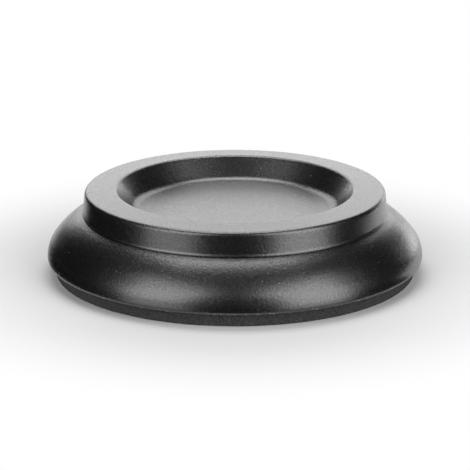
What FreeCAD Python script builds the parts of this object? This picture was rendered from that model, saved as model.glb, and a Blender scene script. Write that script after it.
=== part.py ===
import FreeCAD, Part
import math
import os

import Sketcher

# Driving sizes in millimetres. The cup is turned about +Z and stands on its foam pad at z = 0.
SIZES = {
    "opening_diameter": 61.4,
    "recess_depth": 5.5,
    "wall_run": 5.0,
    "rim_width": 8.0,
    "rim_fall": 0.5,
    "collar_height": 5.8,
    "collar_flare": 0.55,
    "lip_reach": 0.25,
    "lip_height": 0.5,
    "quirk_width": 0.35,
    "quirk_depth": 0.3,
    "bulge_overhang": 9.0,
    "bulge_height": 11.65,
    "belly_radius": 7.2,
    "belly_sweep_degrees": 36.0,
    "heel_radius": 1.6,
    "heel_height": 0.85,
    "floor_fillet": 2.2,
    "rim_round": 1.1,
    "opening_round": 1.2,
    "pad_thickness": 3.6,
    "pad_setback": 2.1,
}

# The widest radius of the cup, measured outwards from the opening.
LIP_RADIUS = "sizes.opening_diameter / 2 + sizes.rim_width + sizes.collar_flare + sizes.lip_reach"
WIDEST_RADIUS = f"{LIP_RADIUS} + sizes.bulge_overhang"

# Point numbers within a sketch element, and the sketch's own origin.
START, END, CENTRE = 1, 2, 3
ORIGIN = (-1, START)

UP = FreeCAD.Vector(0, 0, 1)
FULL_TURN = 360.0
EDGE_TOLERANCE = 1e-4


def make_sheet(document):
    """A sheet with one named cell for each driving size."""
    sheet = document.addObject("Spreadsheet::Sheet", "sizes")
    for row, (alias, size) in enumerate(SIZES.items(), start=1):
        sheet.set(f"A{row}", alias)
        sheet.set(f"B{row}", str(size))
        sheet.setAlias(f"B{row}", alias)
    document.recompute()
    return sheet


def new_body(document, label):
    body = document.addObject("PartDesign::Body", label)
    body.Label = label
    return body


def new_sketch(body, name, plane_role):
    """A sketch on one of the body's own origin planes."""
    sketch = body.newObject("Sketcher::SketchObject", name)
    plane = next(item for item in body.Origin.OriginFeatures if item.Role == plane_role)
    sketch.AttachmentSupport = (plane, [""])
    sketch.MapMode = "FlatFace"
    return sketch


def drive(sketch, name, kind, elements, expression):
    """A dimension of the sketch that follows the sheet."""
    index = sketch.addConstraint(Sketcher.Constraint(kind, *elements, sketch.evalExpression(expression)))
    sketch.renameConstraint(index, name)
    sketch.setExpression(f"Constraints.{name}", expression)


def circle_edges(shape, radius, height):
    """Names of the edges that are full circles of the given radius and height."""
    names = []
    for number, edge in enumerate(shape.Edges, start=1):
        if not isinstance(edge.Curve, Part.Circle):
            continue
        same_radius = abs(edge.Curve.Radius - radius) < EDGE_TOLERANCE
        same_height = abs(edge.Curve.Center.z - height) < EDGE_TOLERANCE
        if same_radius and same_height:
            names.append(f"Edge{number}")
    return names


def round_edge(body, name, radius, height, expression):
    """A fillet on a circular edge of the body as it stands."""
    base = body.Tip
    fillet = body.newObject("PartDesign::Fillet", name)
    fillet.Base = (base, circle_edges(base.Shape, radius, height))
    fillet.setExpression("Radius", expression)
    body.Document.recompute()


def rounding(corner, before, after, radius):
    """Touch points and centre of an arc that rounds a corner between two straight sides."""
    back = (before - corner).normalize()
    ahead = (after - corner).normalize()
    half_angle = back.getAngle(ahead) / 2
    bisector = (back + ahead).normalize()
    reach = radius / math.tan(half_angle)
    return corner + back * reach, corner + ahead * reach, corner + bisector * (radius / math.sin(half_angle))


def section_points(sheet):
    """Points of the turned section as (radius, height) above the underside of the wood."""
    opening = sheet.opening_diameter / 2
    rim = opening + sheet.rim_width
    collar_foot = rim + sheet.collar_flare
    lip = collar_foot + sheet.lip_reach
    widest = lip + sheet.bulge_overhang
    heel_inset = sheet.heel_radius - math.sqrt(sheet.heel_radius**2 - sheet.heel_height**2)
    lip_base = sheet.bulge_height + sheet.quirk_width
    rim_height = lip_base + sheet.collar_height
    top = rim_height + sheet.rim_fall
    floor = top - sheet.recess_depth
    corners = {
        "axis_foot": (0.0, 0.0),
        "heel": (widest - heel_inset, 0.0),
        "heel_centre": (widest - sheet.heel_radius, sheet.heel_height),
        "belly": (widest, sheet.heel_height),
        "belly_centre": (widest - sheet.belly_radius, sheet.heel_height),
        "shoulder": (lip, sheet.bulge_height),
        "quirk": (lip - sheet.quirk_depth, sheet.bulge_height + sheet.quirk_width / 2),
        "lip": (lip, lip_base),
        "collar_foot": (collar_foot, lip_base + sheet.lip_height),
        "rim_corner": (rim, rim_height),
        "opening_corner": (opening, top),
        "floor_edge": (opening - sheet.wall_run, floor),
        "floor_centre": (0.0, floor),
    }
    point = {name: FreeCAD.Vector(radius, height, 0) for name, (radius, height) in corners.items()}
    sweep = math.radians(sheet.belly_sweep_degrees)
    outward = FreeCAD.Vector(math.cos(sweep), math.sin(sweep), 0)
    point["blend"] = point["belly_centre"] + outward * sheet.belly_radius
    chord = point["shoulder"] - point["blend"]
    shoulder_radius = chord.dot(chord) / (-2 * chord.dot(outward))
    point["shoulder_centre"] = point["blend"] - outward * shoulder_radius
    point["collar_top"], point["rim_outer"], point["rim_round_centre"] = rounding(
        point["rim_corner"], point["collar_foot"], point["opening_corner"], sheet.rim_round
    )
    point["rim_inner"], point["wall_top"], point["opening_round_centre"] = rounding(
        point["opening_corner"], point["rim_corner"], point["floor_edge"], sheet.opening_round
    )
    return point


def draw_section(sketch, point):
    """Half section: flat base, rolled bulge of three arcs, quirk, lipped collar, falling rim and recess."""

    def line(start, end):
        return sketch.addGeometry(Part.LineSegment(point[start], point[end]), False)

    def arc(centre, start, end):
        circle = Part.Circle(point[centre], UP, point[centre].distanceToPoint(point[start]))
        first, last = circle.parameter(point[start]), circle.parameter(point[end])
        return sketch.addGeometry(Part.ArcOfCircle(circle, first, last), False)

    base = line("axis_foot", "heel")
    heel = arc("heel_centre", "heel", "belly")
    belly = arc("belly_centre", "belly", "blend")
    shoulder = arc("shoulder_centre", "blend", "shoulder")
    quirk_below = line("shoulder", "quirk")
    quirk_above = line("quirk", "lip")
    lip = line("lip", "collar_foot")
    collar = line("collar_foot", "collar_top")
    rim_round = arc("rim_round_centre", "collar_top", "rim_outer")
    rim = line("rim_outer", "rim_inner")
    opening_round = arc("opening_round_centre", "rim_inner", "wall_top")
    wall = line("wall_top", "floor_edge")
    floor = line("floor_edge", "floor_centre")
    axis = line("floor_centre", "axis_foot")
    rim_corner = sketch.addGeometry(Part.Point(point["rim_corner"]), True)
    opening_corner = sketch.addGeometry(Part.Point(point["opening_corner"]), True)

    def relate(kind, *elements):
        sketch.addConstraint(Sketcher.Constraint(kind, *elements))

    def join(kind, elements):
        for element, following in zip(elements, elements[1:]):
            relate(kind, element, END, following, START)

    join("Coincident", [shoulder, quirk_below, quirk_above, lip, collar])
    join("Coincident", [wall, floor, axis, base, heel])
    join("Tangent", [heel, belly, shoulder])
    join("Tangent", [collar, rim_round, rim, opening_round, wall])
    for side in (collar, rim):
        relate("PointOnObject", rim_corner, START, side)
    for side in (rim, wall):
        relate("PointOnObject", opening_corner, START, side)
    relate("Coincident", base, START, *ORIGIN)
    relate("Horizontal", heel, CENTRE, heel, END)
    relate("Vertical", shoulder, END, lip, START)
    for level in (base, floor):
        relate("Horizontal", level)
    relate("Vertical", axis)

    def across(name, left, right, expression):
        drive(sketch, name, "DistanceX", (*left, *right), expression)

    def upwards(name, low, high, expression):
        drive(sketch, name, "DistanceY", (*low, *high), expression)

    across("opening_radius", ORIGIN, (opening_corner, START), "sizes.opening_diameter / 2")
    across("rim_width", (opening_corner, START), (rim_corner, START), "sizes.rim_width")
    across("collar_flare", (rim_corner, START), (collar, START), "sizes.collar_flare")
    across("bulge_overhang", (shoulder, END), (belly, START), "sizes.bulge_overhang")
    across("quirk_depth", (quirk_below, END), (quirk_below, START), "sizes.quirk_depth")
    across("lip_reach", (lip, END), (lip, START), "sizes.lip_reach")
    across("wall_run", (wall, END), (opening_corner, START), "sizes.wall_run")
    upwards("heel_height", ORIGIN, (heel, END), "sizes.heel_height")
    upwards("bulge_height", ORIGIN, (shoulder, END), "sizes.bulge_height")
    upwards("quirk_width", (quirk_below, START), (quirk_above, END), "sizes.quirk_width")
    upwards("quirk_middle", (quirk_below, START), (quirk_below, END), "sizes.quirk_width / 2")
    upwards("lip_height", (lip, START), (lip, END), "sizes.lip_height")
    upwards("collar_height", (lip, START), (rim_corner, START), "sizes.collar_height")
    upwards("rim_fall", (rim_corner, START), (opening_corner, START), "sizes.rim_fall")
    upwards("recess_depth", (wall, END), (opening_corner, START), "sizes.recess_depth")
    drive(sketch, "heel_radius", "Radius", (heel,), "sizes.heel_radius")
    drive(sketch, "belly_radius", "Radius", (belly,), "sizes.belly_radius")
    drive(sketch, "rim_round", "Radius", (rim_round,), "sizes.rim_round")
    drive(sketch, "opening_round", "Radius", (opening_round,), "sizes.opening_round")
    drive(sketch, "belly_sweep", "Angle", (belly,), "sizes.belly_sweep_degrees * 1 deg")


def make_turned_cup(document, sheet):
    """The cup itself, turned from one piece of hardwood."""
    body = new_body(document, "turned_cup")
    section = new_sketch(body, "section", "XZ_Plane")
    point = section_points(sheet)
    draw_section(section, point)
    turning = body.newObject("PartDesign::Revolution", "turning")
    turning.Profile = section
    turning.ReferenceAxis = (section, ["V_Axis"])
    turning.Angle = FULL_TURN
    document.recompute()
    floor_edge = point["floor_edge"]
    round_edge(body, "floor_corner", floor_edge.x, floor_edge.y, "sizes.floor_fillet")
    body.setExpression("Placement.Base.z", "sizes.pad_thickness")
    return body


def make_foam_pad(document):
    """The foam disc glued under the cup, set back from the bulge all round."""
    body = new_body(document, "foam_pad")
    disc = new_sketch(body, "disc", "XY_Plane")
    rim = disc.addGeometry(Part.Circle(), False)
    disc.addConstraint(Sketcher.Constraint("Coincident", rim, CENTRE, *ORIGIN))
    drive(disc, "pad_radius", "Radius", (rim,), f"{WIDEST_RADIUS} - sizes.pad_setback")
    sheet_of_foam = body.newObject("PartDesign::Pad", "sheet_of_foam")
    sheet_of_foam.Profile = disc
    sheet_of_foam.setExpression("Length", "sizes.pad_thickness")
    return body


def check(document, bodies):
    """Stops the build if anything in the document failed."""
    for item in document.Objects:
        if {"Invalid", "Error"} & set(item.State):
            raise RuntimeError(f"{item.Label} failed: {item.State}")
    for body in bodies:
        if body.Shape.isNull() or not body.Shape.isValid():
            raise RuntimeError(f"{body.Label} has no valid shape")


document = FreeCAD.newDocument("castor_cup")
sizes = make_sheet(document)
subparts = [make_turned_cup(document, sizes), make_foam_pad(document)]
document.recompute()
check(document, subparts)
os.makedirs("parts", exist_ok=True)
for subpart in subparts:
    subpart.Shape.exportStep(f"parts/{subpart.Label}.step")
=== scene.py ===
import math

import bpy
import numpy as np
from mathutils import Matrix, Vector, noise


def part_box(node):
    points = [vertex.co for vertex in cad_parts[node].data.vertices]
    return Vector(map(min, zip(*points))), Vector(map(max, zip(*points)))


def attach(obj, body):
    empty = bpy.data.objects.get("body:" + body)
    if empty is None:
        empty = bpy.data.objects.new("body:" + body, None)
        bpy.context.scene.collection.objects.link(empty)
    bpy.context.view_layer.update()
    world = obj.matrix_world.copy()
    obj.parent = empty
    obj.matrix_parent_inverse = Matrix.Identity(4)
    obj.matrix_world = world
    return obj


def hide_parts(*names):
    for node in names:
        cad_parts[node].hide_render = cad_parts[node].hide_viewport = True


MM = 0.001

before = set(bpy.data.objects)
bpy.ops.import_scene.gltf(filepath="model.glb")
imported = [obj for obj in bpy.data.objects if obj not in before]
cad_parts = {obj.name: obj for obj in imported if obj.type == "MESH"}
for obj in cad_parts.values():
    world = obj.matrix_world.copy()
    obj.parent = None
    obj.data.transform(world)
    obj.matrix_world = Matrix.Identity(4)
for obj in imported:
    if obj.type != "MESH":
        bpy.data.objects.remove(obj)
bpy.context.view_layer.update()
cup_low, cup_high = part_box("turned_cup")
pad_low, pad_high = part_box("foam_pad")

# The turned section, in millimetres. The widest radius and the underside come from the frame.
RECESS_DEPTH = 5.5
WALL_RUN = 5.0
RIM_WIDTH = 8.0
RIM_FALL = 0.5
COLLAR_HEIGHT = 5.8
COLLAR_FLARE = 0.55
LIP_REACH = 0.25
LIP_HEIGHT = 0.5
QUIRK_WIDTH = 0.35
QUIRK_DEPTH = 0.3
BULGE_OVERHANG = 9.0
BULGE_HEIGHT = 11.65
BELLY_RADIUS = 7.2
BELLY_SWEEP = math.radians(36.0)
HEEL_RADIUS = 1.6
HEEL_HEIGHT = 0.85
FLOOR_FILLET = 2.2
RIM_ROUND = 1.1
OPENING_ROUND = 1.2

# What sanding and lacquer do to the section, in millimetres: radii left on the sharp edges and on the
# lip, what pooled lacquer adds to the radius at the recess's foot, and the waves of the faces.
EDGE_EASE = 0.06
LIP_EASE = 0.3
LACQUER_POOL = 1.0
WAVE_DEPTH = 0.012
WAVE_LENGTH = 9.0

# The foam's cut edge, in millimetres: its eased corners, and its torn cells in two sizes on slow waves.
CUT_EASE = 0.2
CUT_BAND = 0.3
CELL_DEPTH = 0.05
CELLS_PER_MM = 2.4
FINE_CELLS_PER_MM = 5.0
FINE_CELL_SHARE = 0.6
CUT_WAVE_DEPTH = 0.04
CUT_WAVE_LENGTH = 4.0

# Mesh fineness: steps round the axis, and along the section in millimetres or by angle.
TURN_STEPS = 540
FLAT_STEP = 3.0
FACE_STEP = 0.8
CUT_STEP = 0.2
ARC_STEP = math.radians(4.5)
ARC_LEAST_STEPS = 3
SHARP_ANGLE = math.radians(50)

# Noise layers: cells per metre along X, Y and Z, detail and roughness.
GRAIN = ((200.0, 2000.0, 2000.0), 4.0, 0.65)
GRIT = ((3000.0, 3000.0, 3000.0), 1.0, 0.5)
PEEL = ((1300.0, 1300.0, 1300.0), 3.0, 0.6)
CLOUD = ((45.0, 90.0, 90.0), 3.0, 0.5)
MOTTLE = ((1900.0, 2400.0, 2400.0), 2.0, 0.6)
# The pale chips on the heel, which are partly wear and partly a painted glint.
GLINT_CHIPS = ((900.0, 900.0, 900.0), 3.0, 0.6)
FOAM_GRAINS = ((2800.0, 2800.0, 2800.0), 2.0, 0.7)

# The lacquer. A span is the part of a noise over which its effect rises from none to full.
NOISE_SPAN = (0.3, 0.7)
GRIT_SPAN = (0.56, 0.70)
GLINT_CHIP_SPAN = (0.56, 0.66)
BLACKS = (0.0015, 0.003)
ROUGHNESSES = (0.32, 0.265)
COAT_WEIGHTS = (0.15, 0.55)
PEEL_HEIGHT = 0.035 * MM
GRAIN_HEIGHT = 0.004 * MM
GRIT_HEIGHT = 0.014 * MM
LACQUER_SHADER = {
    "IOR": 1.6,
    "Specular IOR Level": 1.0,
    "Coat Weight": 0.35,
    "Coat Roughness": 0.25,
    "Coat IOR": 1.6,
}

# Dust, and pale chips on the lowest edge that are partly rubbed wear and partly a painted glint of the
# heel: specks per metre and their radii in cells, the height of the pale edge, and greys.
DUST_SCALE = 300.0
DUST_RADII = (0.030, 0.045)
DUST_GREY = 0.35
WORN_GLINT_HEIGHT = 0.45 * MM
WORN_GLINT_GREY = 0.35

# The foam.
FOAM_GREYS = (0.022, 0.090)
FOAM_GRAIN_HEIGHT = 0.15 * MM
FOAM_SHADER = {"Roughness": 0.95, "Specular IOR Level": 0.25}

# Lamps: azimuth to the right of the camera's side, elevation, width and height in degrees, and radiance.
LAMP_DISTANCE = 0.9
LAMPS = {
    "left_softbox": (-48, 29.5, 40, 53, 2.3),
    "right_softbox": (50, 28, 42, 56, 2.6),
    "top_panel": (-174, 72, 40, 32, 3.2),
    "back_panel": (180, 24, 52, 40, 1.75),
    "horizon_panel": (147, 5, 18, 10, 2.4),
}
WORLD_STRENGTH = 0.01

# The paper, in metres. Its shadow fades out between the two radii.
PAPER_REACH = 3.0
PAPER_GREY = 0.84
PAPER_SHADER = {"Roughness": 1.0, "Specular IOR Level": 0.0}
SHADOW_RADII = (0.047, 0.1)

# The black card over the paper, in metres. Its inner edge has a radius for each azimuth in degrees.
CARD_AZIMUTHS = (-155, -134, -112, 76, 98, 108, 128)
CARD_RADII = (0.40, 0.11, 0.052, 0.052, 0.11, 0.11, 0.40)
CARD_REACH = 1.5
CARD_HEIGHT = 0.0004
CARD_STEPS = 95
CARD_GREY = 0.01
CARD_SHADER = {"Roughness": 0.12, "Coat Weight": 1.0, "Coat Roughness": 0.12}

# The camera: where it stands and what it looks at, in metres, and its lens.
CAMERA_PLACE = (4.3 * MM, -662 * MM, 214 * MM)
CAMERA_TARGET = (0, 0, 9 * MM)
CAMERA_LENS = 205
CAMERA_SENSOR = 36


def arc(centre, radius, first, last):
    """Points on an arc of the section, from one angle to the other."""
    steps = max(ARC_LEAST_STEPS, math.ceil(abs(last - first) / ARC_STEP))
    angles = np.linspace(first, last, steps + 1)
    return [(centre[0] + radius * math.cos(a), centre[1] + radius * math.sin(a)) for a in angles]


def straight(start, end, step):
    """Points between two ends of a straight stretch, without the ends."""
    steps = max(1, math.ceil(math.dist(start, end) / step))
    start, end = np.array(start), np.array(end)
    return [tuple(start + (end - start) * i / steps) for i in range(1, steps)]


def rounded(before, corner, after, radius):
    """A corner of the section eased by an arc that touches both of its sides."""
    corner = np.array(corner)
    back = np.array(before) - corner
    back /= np.linalg.norm(back)
    ahead = np.array(after) - corner
    ahead /= np.linalg.norm(ahead)
    half = math.acos(np.dot(back, ahead)) / 2
    bisector = (back + ahead) / np.linalg.norm(back + ahead)
    centre = corner + bisector * radius / math.sin(half)
    start = corner + back * radius / math.tan(half) - centre
    end = corner + ahead * radius / math.tan(half) - centre
    first = math.atan2(start[1], start[0])
    sweep = math.atan2(start[0] * end[1] - start[1] * end[0], np.dot(start, end))
    return arc(centre, radius, first, first + sweep)


def turned_section():
    """The cup's half section in mm, as (radius, height) from the axis below to the recess floor."""
    base = cup_low.z / MM
    widest = cup_high.x / MM
    lip = widest - BULGE_OVERHANG
    collar_foot = lip - LIP_REACH
    rim = collar_foot - COLLAR_FLARE
    opening = rim - RIM_WIDTH
    shoulder_height = base + BULGE_HEIGHT
    lip_base = shoulder_height + QUIRK_WIDTH
    rim_height = lip_base + COLLAR_HEIGHT
    top = rim_height + RIM_FALL
    floor_height = top - RECESS_DEPTH
    belly_height = base + HEEL_HEIGHT
    heel_angle = -math.asin(HEEL_HEIGHT / HEEL_RADIUS)
    heel = arc((widest - HEEL_RADIUS, belly_height), HEEL_RADIUS, heel_angle, 0.0)
    belly = arc((widest - BELLY_RADIUS, belly_height), BELLY_RADIUS, 0.0, BELLY_SWEEP)

    # The shoulder leaves the belly along its tangent and ends under the collar.
    outward = np.array((math.cos(BELLY_SWEEP), math.sin(BELLY_SWEEP)))
    shoulder_top = (lip, shoulder_height)
    chord = np.array(shoulder_top) - np.array(belly[-1])
    shoulder_radius = np.dot(chord, chord) / (-2 * np.dot(chord, outward))
    shoulder_centre = np.array(belly[-1]) - outward * shoulder_radius
    reach = np.array(shoulder_top) - shoulder_centre
    shoulder = arc(shoulder_centre, shoulder_radius, BELLY_SWEEP, math.atan2(reach[1], reach[0]))

    floor_centre = (0.0, floor_height)
    corners = [
        (shoulder[-2], 0.0),
        (shoulder_top, EDGE_EASE),
        ((lip - QUIRK_DEPTH, shoulder_height + QUIRK_WIDTH / 2), EDGE_EASE),
        ((lip, lip_base), EDGE_EASE),
        ((collar_foot, lip_base + LIP_HEIGHT), LIP_EASE),
        ((rim, rim_height), RIM_ROUND),
        ((opening, top), OPENING_ROUND),
        ((opening - WALL_RUN, floor_height), FLOOR_FILLET + LACQUER_POOL),
        (floor_centre, 0.0),
    ]
    points = [(0.0, base)]
    points += straight(points[0], heel[0], FLAT_STEP) + heel + belly[1:] + shoulder[1:-1]
    for (before, _), (corner, radius), (after, _) in zip(corners, corners[1:], corners[2:]):
        eased = rounded(before, corner, after, radius)
        points += straight(points[-1], eased[0], FACE_STEP) + eased
    return points + straight(points[-1], floor_centre, FLAT_STEP) + [floor_centre]


def pad_section():
    """The foam disc's half section in mm, from the axis below to the axis above."""
    radius = pad_high.x / MM
    below, above = (0.0, pad_low.z / MM), (0.0, pad_high.z / MM)
    low_corner, high_corner = (radius, below[1]), (radius, above[1])
    low_edge = rounded(below, low_corner, high_corner, CUT_EASE)
    high_edge = rounded(low_corner, high_corner, above, CUT_EASE)
    return [
        below,
        *straight(below, low_edge[0], FLAT_STEP),
        *low_edge,
        *straight(low_edge[-1], high_edge[0], CUT_STEP),
        *high_edge,
        *straight(high_edge[-1], above, FLAT_STEP),
        above,
    ]


def lacquer_sink(point):
    """Sanding and lacquer leave the turned faces very slightly wavy."""
    return WAVE_DEPTH + WAVE_DEPTH * noise.noise(point / WAVE_LENGTH)


def foam_sink(point):
    """The cut edge of the foam is torn open a little at its cells; its faces are flat."""
    if math.hypot(point.x, point.y) < pad_high.x / MM - CUT_BAND:
        return 0.0
    fine_cells = noise.noise(point * FINE_CELLS_PER_MM)
    cells = noise.noise(point * CELLS_PER_MM) + FINE_CELL_SHARE * fine_cells
    waves = noise.noise(point / CUT_WAVE_LENGTH)
    return max(0.0, CELL_DEPTH + CELL_DEPTH * cells + CUT_WAVE_DEPTH * waves)


def new_object(name, vertices, faces):
    """A mesh object in the scene, with its points in metres."""
    mesh = bpy.data.meshes.new(name)
    mesh.from_pydata(vertices, [], faces)
    item = bpy.data.objects.new(name, mesh)
    bpy.context.scene.collection.objects.link(item)
    return item


def turn(name, section, sink):
    """A piece turned about +Z from a half section, sunk under it by what sink gives; both are in mm."""
    rings = np.array(section[1:-1])
    tangent = np.gradient(rings, axis=0)
    inward = np.stack((-tangent[:, 1], tangent[:, 0]), axis=1)
    inward /= np.linalg.norm(inward, axis=1, keepdims=True)
    angles = np.arange(TURN_STEPS) * 2 * math.pi / TURN_STEPS
    vertices = []
    for (radius, height), (in_radius, in_height) in zip(rings, inward):
        for angle in angles:
            point = Vector((radius * math.cos(angle), radius * math.sin(angle), height))
            depth = sink(point)
            across, up = (radius + in_radius * depth) * MM, (height + in_height * depth) * MM
            vertices.append((across * math.cos(angle), across * math.sin(angle), up))
    below, above = len(vertices), len(vertices) + 1
    vertices += [(0, 0, section[0][1] * MM), (0, 0, section[-1][1] * MM)]
    faces = []
    last = (len(rings) - 1) * TURN_STEPS
    for i in range(TURN_STEPS):
        j = (i + 1) % TURN_STEPS
        faces.append((below, j, i))
        faces.append((above, last + i, last + j))
        for start in range(0, last, TURN_STEPS):
            faces.append((start + i, start + j, start + TURN_STEPS + j, start + TURN_STEPS + i))
    piece = new_object(name, vertices, faces)
    piece.data.shade_smooth()
    piece.data.set_sharp_from_angle(angle=SHARP_ANGLE)
    return piece


def grey(level):
    return level, level, level, 1.0


def set_values(node, values):
    for socket, value in values.items():
        node.inputs[socket].default_value = value


def add_node(tree, kind, values, links):
    """A new node, with the plain values and the links of its inputs."""
    node = tree.nodes.new(kind)
    set_values(node, values)
    for socket, source in links.items():
        tree.links.new(source, node.inputs[socket])
    return node


def new_material(name, colour, values):
    """A material with its node tree and its main shader."""
    material = bpy.data.materials.new(name)
    material.use_nodes = True
    shader = material.node_tree.nodes["Principled BSDF"]
    set_values(shader, {"Base Color": grey(colour), **values})
    return material, material.node_tree, shader


def object_place(tree):
    """The object's own coordinates, in metres."""
    return tree.nodes.new("ShaderNodeTexCoord").outputs["Object"]


def noise_layer(tree, place, scale, detail, roughness):
    mapping = add_node(tree, "ShaderNodeMapping", {"Scale": scale}, {"Vector": place})
    texture = add_node(
        tree,
        "ShaderNodeTexNoise",
        {"Scale": 1.0, "Detail": detail, "Roughness": roughness},
        {"Vector": mapping.outputs["Vector"]},
    )
    return texture.outputs["Fac"]


def ramp(tree, value, span, levels):
    """A value mapped over a span to a run between two greys."""
    node = add_node(tree, "ShaderNodeValToRGB", {}, {"Fac": value})
    for element, position, level in zip(node.color_ramp.elements, span, levels):
        element.position = position
        element.color = grey(level)
    return node.outputs["Color"]


def to_range(tree, value, span, results, interpolation="LINEAR"):
    """A value mapped over a span to a range of results."""
    node = add_node(
        tree,
        "ShaderNodeMapRange",
        {"From Min": span[0], "From Max": span[1], "To Min": results[0], "To Max": results[1]},
        {"Value": value},
    )
    node.interpolation_type = interpolation
    return node.outputs["Result"]


def combined(tree, operation, first, second):
    """Two values put together by a math operation."""
    node = add_node(tree, "ShaderNodeMath", {}, {0: first, 1: second})
    node.operation = operation
    return node.outputs["Value"]


def bump(tree, height, distance, under=None):
    """A bump layer of the given height in metres, alone or over another one."""
    links = {"Height": height}
    if under is not None:
        links["Normal"] = under
    node = add_node(tree, "ShaderNodeBump", {"Strength": 1.0, "Distance": distance}, links)
    return node.outputs["Normal"]


def covered(tree, colour, share, level):
    """A colour covered by a grey where share is 1."""
    mix = tree.nodes.new("ShaderNodeMix")
    mix.data_type = "RGBA"
    mix.inputs["B"].default_value = grey(level)
    tree.links.new(share, mix.inputs["Factor"])
    tree.links.new(colour, mix.inputs["A"])
    return mix.outputs["Result"]


def dusted(tree, place, colour):
    """A colour with sparse specks of pale dust."""
    cells = add_node(tree, "ShaderNodeTexVoronoi", {"Scale": DUST_SCALE}, {"Vector": place})
    speck = ramp(tree, cells.outputs["Distance"], DUST_RADII, (1.0, 0.0))
    return covered(tree, colour, speck, DUST_GREY)


def worn_and_glinting(tree, place, colour):
    """A colour made paler in chips along the cup's lowest edge: partly rubbed wear, partly a painted
    glint of the heel's rounding.
    """
    height = add_node(tree, "ShaderNodeSeparateXYZ", {}, {"Vector": place}).outputs["Z"]
    near = to_range(tree, height, (cup_low.z, cup_low.z + WORN_GLINT_HEIGHT), (1.0, 0.0))
    # Pale chips on the lowest edge: partly wear, partly a painted glint of the heel.
    glint_chips = ramp(tree, noise_layer(tree, place, *GLINT_CHIPS), GLINT_CHIP_SPAN, (0.0, 1.0))
    return covered(tree, colour, combined(tree, "MULTIPLY", near, glint_chips), WORN_GLINT_GREY)


def satin_lacquer():
    """Black satin lacquer: fine grit and a slight orange peel, over very faint grain along X."""
    material, tree, shader = new_material("satin_lacquer", BLACKS[1], LACQUER_SHADER)
    place = object_place(tree)
    black = ramp(tree, noise_layer(tree, place, *CLOUD), NOISE_SPAN, BLACKS)
    mottle = noise_layer(tree, place, *MOTTLE)
    grit = ramp(tree, noise_layer(tree, place, *GRIT), GRIT_SPAN, (0.0, 1.0))
    peeled = bump(tree, noise_layer(tree, place, *PEEL), PEEL_HEIGHT)
    grained = bump(tree, noise_layer(tree, place, *GRAIN), GRAIN_HEIGHT, peeled)
    gritty = bump(tree, grit, GRIT_HEIGHT, grained)
    sources = {
        # The base colour carries the pale chips on the heel, which are partly a painted glint.
        "Base Color": dusted(tree, place, worn_and_glinting(tree, place, black)),
        "Roughness": to_range(tree, mottle, NOISE_SPAN, ROUGHNESSES),
        "Coat Weight": to_range(tree, mottle, NOISE_SPAN, COAT_WEIGHTS),
        "Normal": gritty,
        "Coat Normal": gritty,
    }
    for socket, source in sources.items():
        tree.links.new(source, shader.inputs[socket])
    return material


def foam():
    """Black closed-cell foam, matte, with a granular cut face."""
    material, tree, shader = new_material("foam", FOAM_GREYS[0], FOAM_SHADER)
    grains = noise_layer(tree, object_place(tree), *FOAM_GRAINS)
    tree.links.new(ramp(tree, grains, NOISE_SPAN, FOAM_GREYS), shader.inputs["Base Color"])
    tree.links.new(bump(tree, grains, FOAM_GRAIN_HEIGHT), shader.inputs["Normal"])
    return material


def dress(piece, node, material):
    """Lets a piece stand for a node of the frame, with its finish."""
    piece.data.materials.append(material)
    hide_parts(node)
    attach(piece, "root")


def aim(item, target):
    """Turns a lamp or camera towards a point."""
    item.rotation_mode = "QUATERNION"
    item.rotation_quaternion = (Vector(target) - item.location).to_track_quat("-Z", "Y")


def round_axis(azimuth, radius, height):
    """A point round the cup, at an azimuth to the right of the camera's side in degrees."""
    angle = math.radians(azimuth)
    return radius * math.sin(angle), -radius * math.cos(angle), height


def softbox(name, azimuth, elevation, width, height, radiance):
    """A soft light panel that faces the cup and is seen only in reflections."""
    data = bpy.data.lights.new(name, "AREA")
    data.shape = "RECTANGLE"
    data.size = 2 * LAMP_DISTANCE * math.tan(math.radians(width / 2))
    data.size_y = 2 * LAMP_DISTANCE * math.tan(math.radians(height / 2))
    data.energy = radiance * math.pi * data.size * data.size_y
    lamp = bpy.data.objects.new(name, data)
    rise = math.radians(elevation)
    lamp.location = round_axis(azimuth, LAMP_DISTANCE * math.cos(rise), LAMP_DISTANCE * math.sin(rise))
    lamp.visible_camera = False
    aim(lamp, (0, 0, 0))
    bpy.context.scene.collection.objects.link(lamp)


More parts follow.
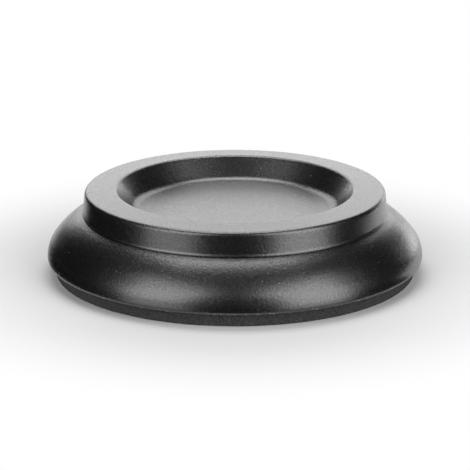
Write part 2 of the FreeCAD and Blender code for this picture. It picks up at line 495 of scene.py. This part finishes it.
def white_paper():
    """White paper that keeps the soft shadow round the cup and is plain white further out."""
    material, tree, shader = new_material("white_paper", PAPER_GREY, PAPER_SHADER)
    rays = tree.nodes.new("ShaderNodeLightPath").outputs
    seen = rays["Is Camera Ray"]
    for kind in ("Is Glossy Ray", "Is Transmission Ray"):
        seen = combined(tree, "MAXIMUM", seen, rays[kind])
    distance = add_node(tree, "ShaderNodeVectorMath", {}, {0: object_place(tree)})
    distance.operation = "LENGTH"
    far = to_range(tree, distance.outputs["Value"], SHADOW_RADII, (0.0, 1.0), "SMOOTHSTEP")
    glow = tree.nodes.new("ShaderNodeEmission")
    links = {
        "Fac": combined(tree, "MULTIPLY", seen, far),
        1: shader.outputs["BSDF"],
        2: glow.outputs["Emission"],
    }
    mix = add_node(tree, "ShaderNodeMixShader", {}, links)
    tree.links.new(mix.outputs["Shader"], tree.nodes["Material Output"].inputs["Surface"])
    return material


def stage_sheet(name, vertices, faces, material):
    """A level sheet of the studio, which is no part of the cup."""
    sheet = new_object(name, vertices, faces)
    sheet.data.materials.append(material)
    return sheet


def lay_paper():
    corners = [(x * PAPER_REACH, y * PAPER_REACH, 0.0) for x, y in ((-1, -1), (1, -1), (1, 1), (-1, 1))]
    stage_sheet("floor", corners, [(0, 1, 2, 3)], white_paper())


def lay_card():
    """A black card that keeps the paper in front and at the sides out of the lacquer's reflections."""
    corners = []
    for azimuth in np.linspace(CARD_AZIMUTHS[0], CARD_AZIMUTHS[-1], CARD_STEPS + 1):
        inner = np.interp(azimuth, CARD_AZIMUTHS, CARD_RADII)
        corners += [round_axis(azimuth, radius, CARD_HEIGHT) for radius in (inner, CARD_REACH)]
    faces = [(i, i + 1, i + 3, i + 2) for i in range(0, 2 * CARD_STEPS, 2)]
    material, _, _ = new_material("black_card", CARD_GREY, CARD_SHADER)
    card = stage_sheet("flag", corners, faces, material)
    card.visible_camera = False
    card.visible_diffuse = False
    card.visible_shadow = False
    card.visible_transmission = False


cup = turn("turned_cup_lacquered", turned_section(), lacquer_sink)
dress(cup, "turned_cup", satin_lacquer())
pad = turn("foam_pad_cut", pad_section(), foam_sink)
dress(pad, "foam_pad", foam())

for name, setting in LAMPS.items():
    softbox(name, *setting)
lay_paper()
lay_card()

world = bpy.data.worlds.new("studio")
world.use_nodes = True
set_values(world.node_tree.nodes["Background"], {"Color": grey(1.0), "Strength": WORLD_STRENGTH})
bpy.context.scene.world = world

camera = bpy.data.objects.new("camera", bpy.data.cameras.new("camera"))
camera.location = CAMERA_PLACE
camera.data.lens = CAMERA_LENS
camera.data.sensor_width = CAMERA_SENSOR
aim(camera, CAMERA_TARGET)
bpy.context.scene.collection.objects.link(camera)
bpy.context.scene.camera = camera
bpy.context.scene.view_settings.view_transform = "Standard"
